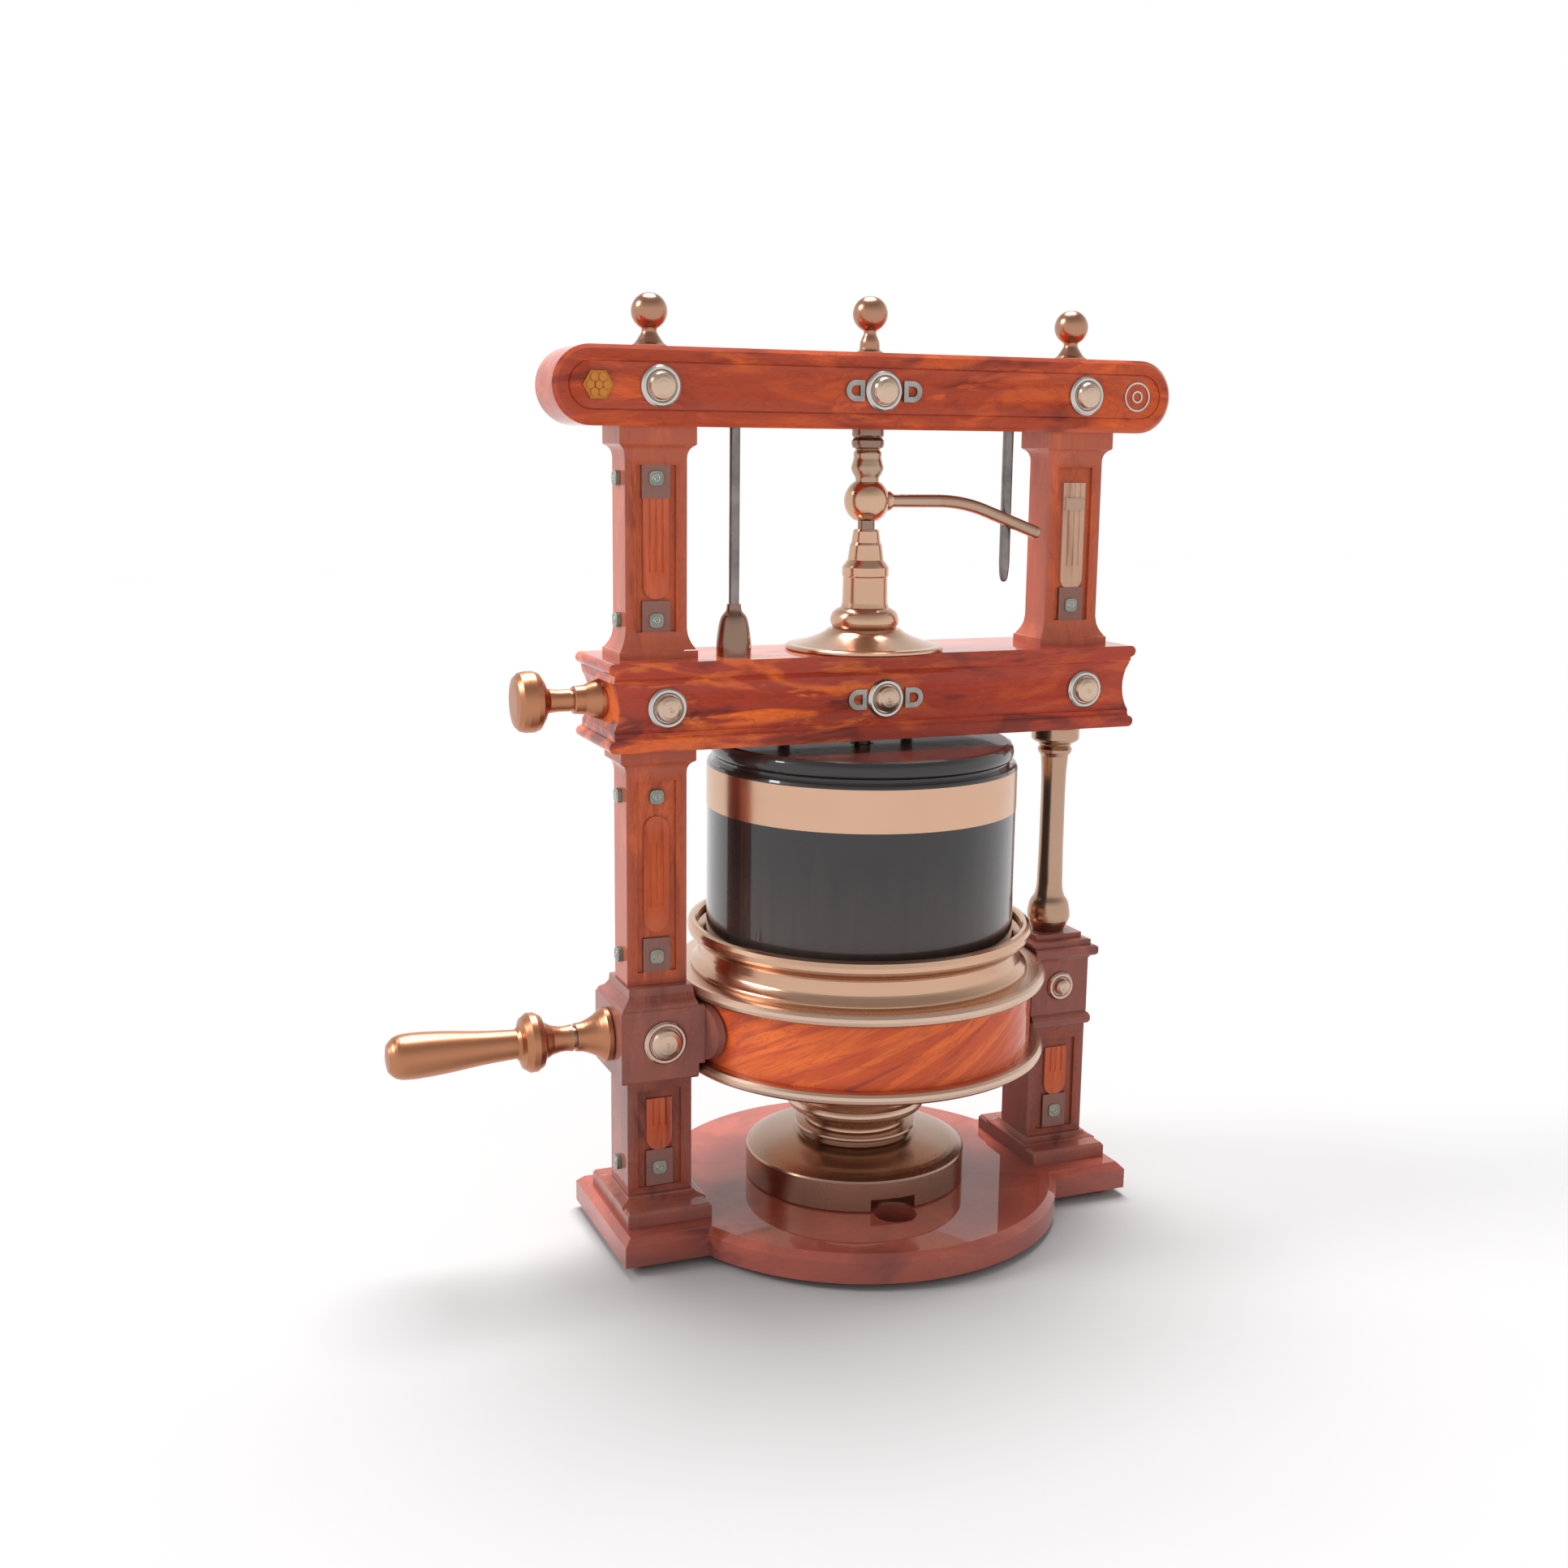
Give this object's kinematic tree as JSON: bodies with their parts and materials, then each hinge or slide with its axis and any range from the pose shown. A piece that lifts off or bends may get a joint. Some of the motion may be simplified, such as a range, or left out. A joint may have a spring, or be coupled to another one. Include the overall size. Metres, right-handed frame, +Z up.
{
  "type": "tabletop printing press",
  "caption": "Small upright screw press: lacquered posts and beams, a lever-turned spindle, a drum-shaped platen over a round turning bed, with a side clamp handle.",
  "frame": {"origin": "on the spindle's axis, at the level that the feet stand on: the middle of the face of the centre foot", "axes": "+Z up along the spindle, +X along the beams from the post with the clamp handle to the post with the copper pillar, the bolted front faces look along -Y"},
  "size_m": [0.5277, 0.276, 0.6042],
  "materials": {
    "red_lacquer": "glossy lacquer over red mahogany with flame figure",
    "brown_lacquer": "glossy lacquer, purple-brown",
    "burl_orange": "polished burl veneer under clear lacquer",
    "pale_wood": "satin lacquer",
    "copper": "polished copper-coloured metal",
    "copper_satin": "satin copper-coloured metal, handled smooth",
    "black_gloss": "gloss black enamel",
    "steel": "dark satin steel",
    "silver_trim": "bright pale metal",
    "amber_gold": "gilt, worn",
    "iron": "machined face",
    "bronze": "turned bearing bronze"
  },
  "bodies": {
    "frame": {"base_plate": "red_lacquer", "base_feet": "copper_satin", "post_plinths": "brown_lacquer", "left_lower_shaft": "red_lacquer", "left_waist_block": "brown_lacquer", "left_middle_shaft": "red_lacquer", "left_capital": "brown_lacquer", "right_lower_shaft": "red_lacquer", "right_waist_block": "brown_lacquer", "right_cap": "brown_lacquer", "right_pillar": "copper", "upper_left_post": "red_lacquer", "upper_right_post": "red_lacquer", "upper_capitals": "brown_lacquer", "post_inlays": "burl_orange", "pale_inlay": "pale_wood", "post_studs": "silver_trim", "mid_beam": "red_lacquer", "top_beam": "red_lacquer", "tie_rods": "steel", "tie_rod_nuts": "steel", "side_finials": "copper_satin", "centre_finial": "copper_satin", "bolt_rims": "silver_trim", "bolt_domes": "bronze", "key_plates": "silver_trim", "hex_medallion": "amber_gold", "ring_medallion": "silver_trim", "nut_tower": "copper", "top_bush": "copper", "guide_rod": "steel", "rod_socket": "copper_satin", "stop_rod": "steel", "platen_pins": "steel", "pedestal_disc": "copper", "pedestal_cup": "copper", "pivot_pin": "steel", "thrust_washer": "bronze", "clamp_ferrule": "copper_satin", "lock_ferrule": "copper_satin"},
    "bed": {"bed_hub": "copper", "lower_flange": "copper", "bed_ring": "burl_orange", "upper_flange": "copper", "tray": "copper"},
    "platen": {"drum_shell": "black_gloss", "drum_band": "copper", "drum_lid": "black_gloss", "platen_core": "iron"},
    "spindle": {"spindle_screw": "steel", "thrust_collar": "bronze", "ball_hub": "copper", "spindle_head": "copper", "lever": "copper_satin"},
    "clamp_slider": {"clamp_shoe": "brown_lacquer"},
    "clamp_handle": {"clamp_screw": "steel", "clamp_grip": "copper_satin"},
    "lock_slider": {"lock_shoe": "bronze"},
    "lock_handle": {"lock_knob": "copper_satin"}
  },
  "joints": [
    {"name": "bed_turn", "type": "hinge", "parent": "frame", "child": "bed", "pos_m": [0, 0, 0.1], "axis": [0, 0, 1], "continuous": true},
    {"name": "platen_slide", "type": "slide", "parent": "frame", "child": "platen", "axis": [0, 0, 1], "range_m": [-0.0047, 0]},
    {"name": "lever_turn", "type": "hinge", "parent": "platen", "child": "spindle", "pos_m": [0, 0, 0.477], "axis": [0, 0, 1], "range_deg": [-90, 0]},
    {"name": "clamp_slide", "type": "slide", "parent": "frame", "child": "clamp_slider", "axis": [1, 0, 0], "range_m": [0, 0.0015]},
    {"name": "clamp_turn", "type": "hinge", "parent": "clamp_slider", "child": "clamp_handle", "pos_m": [-0.2, 0, 0.14], "axis": [1, 0, 0], "range_deg": [0, 270]},
    {"name": "lock_slide", "type": "slide", "parent": "frame", "child": "lock_slider", "axis": [1, 0, 0], "range_m": [0, 0.0013]},
    {"name": "lock_turn", "type": "hinge", "parent": "lock_slider", "child": "lock_handle", "pos_m": [-0.2, 0, 0.35625], "axis": [1, 0, 0], "range_deg": [0, 234]}
  ],
  "couplings": [
    {"joint": "lever_turn", "follows": "platen_slide", "rad_per_m": 334},
    {"joint": "clamp_turn", "follows": "clamp_slide", "rad_per_m": 3141},
    {"joint": "lock_turn", "follows": "lock_slide", "rad_per_m": 3141}
  ]
}
